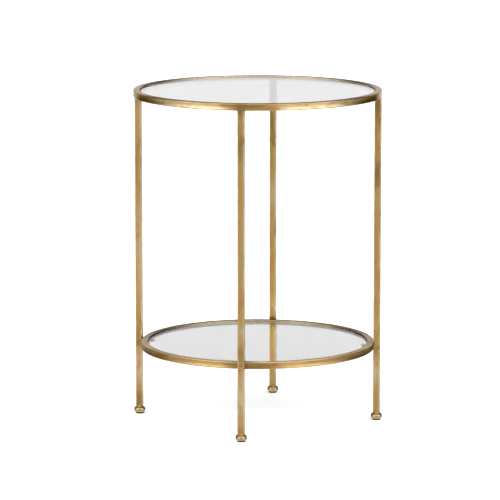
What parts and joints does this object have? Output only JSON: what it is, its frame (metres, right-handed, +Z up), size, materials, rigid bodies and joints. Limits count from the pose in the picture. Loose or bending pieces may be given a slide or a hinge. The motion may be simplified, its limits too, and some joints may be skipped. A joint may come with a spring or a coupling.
{
  "type": "tiered side table",
  "caption": "Round side table with glass top and lower glass shelf, each set in a square-tube ring on slender square legs with small turned feet.",
  "frame": {"origin": "on the floor, under the middle of both rings", "axes": "+Z up along the axis of the rings; the front leg stands on -Y, the right leg on +X, the back leg on +Y, the left leg on -X"},
  "size_m": [0.463, 0.463, 0.61],
  "materials": {
    "antique_brass": "steel tube with an antique brass plated finish and dark patina",
    "turned_brass": "turned brass, antique finish",
    "steel": "zinc plated",
    "clear_glass": "clear tempered glass with ground edges",
    "clear_bumper": "clear silicone",
    "dark_rubber": "matt dark rubber"
  },
  "bodies": {
    "frame": {"top_ring": "antique_brass", "lower_ring": "antique_brass", "leg_front": "antique_brass", "top_weld_front": "antique_brass", "shelf_weld_front": "antique_brass", "leg_plug_front": "steel", "foot_front": "turned_brass", "foot_screw_front": "steel", "glide_front": "dark_rubber", "top_tab_front": "antique_brass", "shelf_tab_front": "antique_brass", "top_bumper_front": "clear_bumper", "shelf_bumper_front": "clear_bumper", "leg_right": "antique_brass", "top_weld_right": "antique_brass", "shelf_weld_right": "antique_brass", "leg_plug_right": "steel", "foot_right": "turned_brass", "foot_screw_right": "steel", "glide_right": "dark_rubber", "top_tab_right": "antique_brass", "shelf_tab_right": "antique_brass", "top_bumper_right": "clear_bumper", "shelf_bumper_right": "clear_bumper", "leg_back": "antique_brass", "top_weld_back": "antique_brass", "shelf_weld_back": "antique_brass", "leg_plug_back": "steel", "foot_back": "turned_brass", "foot_screw_back": "steel", "glide_back": "dark_rubber", "top_tab_back": "antique_brass", "shelf_tab_back": "antique_brass", "top_bumper_back": "clear_bumper", "shelf_bumper_back": "clear_bumper", "leg_left": "antique_brass", "top_weld_left": "antique_brass", "shelf_weld_left": "antique_brass", "leg_plug_left": "steel", "foot_left": "turned_brass", "foot_screw_left": "steel", "glide_left": "dark_rubber", "top_tab_left": "antique_brass", "shelf_tab_left": "antique_brass", "top_bumper_left": "clear_bumper", "shelf_bumper_left": "clear_bumper"},
    "top_glass": {"top_glass": "clear_glass"},
    "lower_glass": {"lower_glass": "clear_glass"}
  },
  "joints": [
    {"name": "top_glass_lift", "type": "slide", "parent": "frame", "child": "top_glass", "axis": [0, 0, 1], "range_m": [0, 0.05]},
    {"name": "lower_glass_lift", "type": "slide", "parent": "frame", "child": "lower_glass", "axis": [0, 0, 1], "range_m": [0, 0.1]}
  ]
}
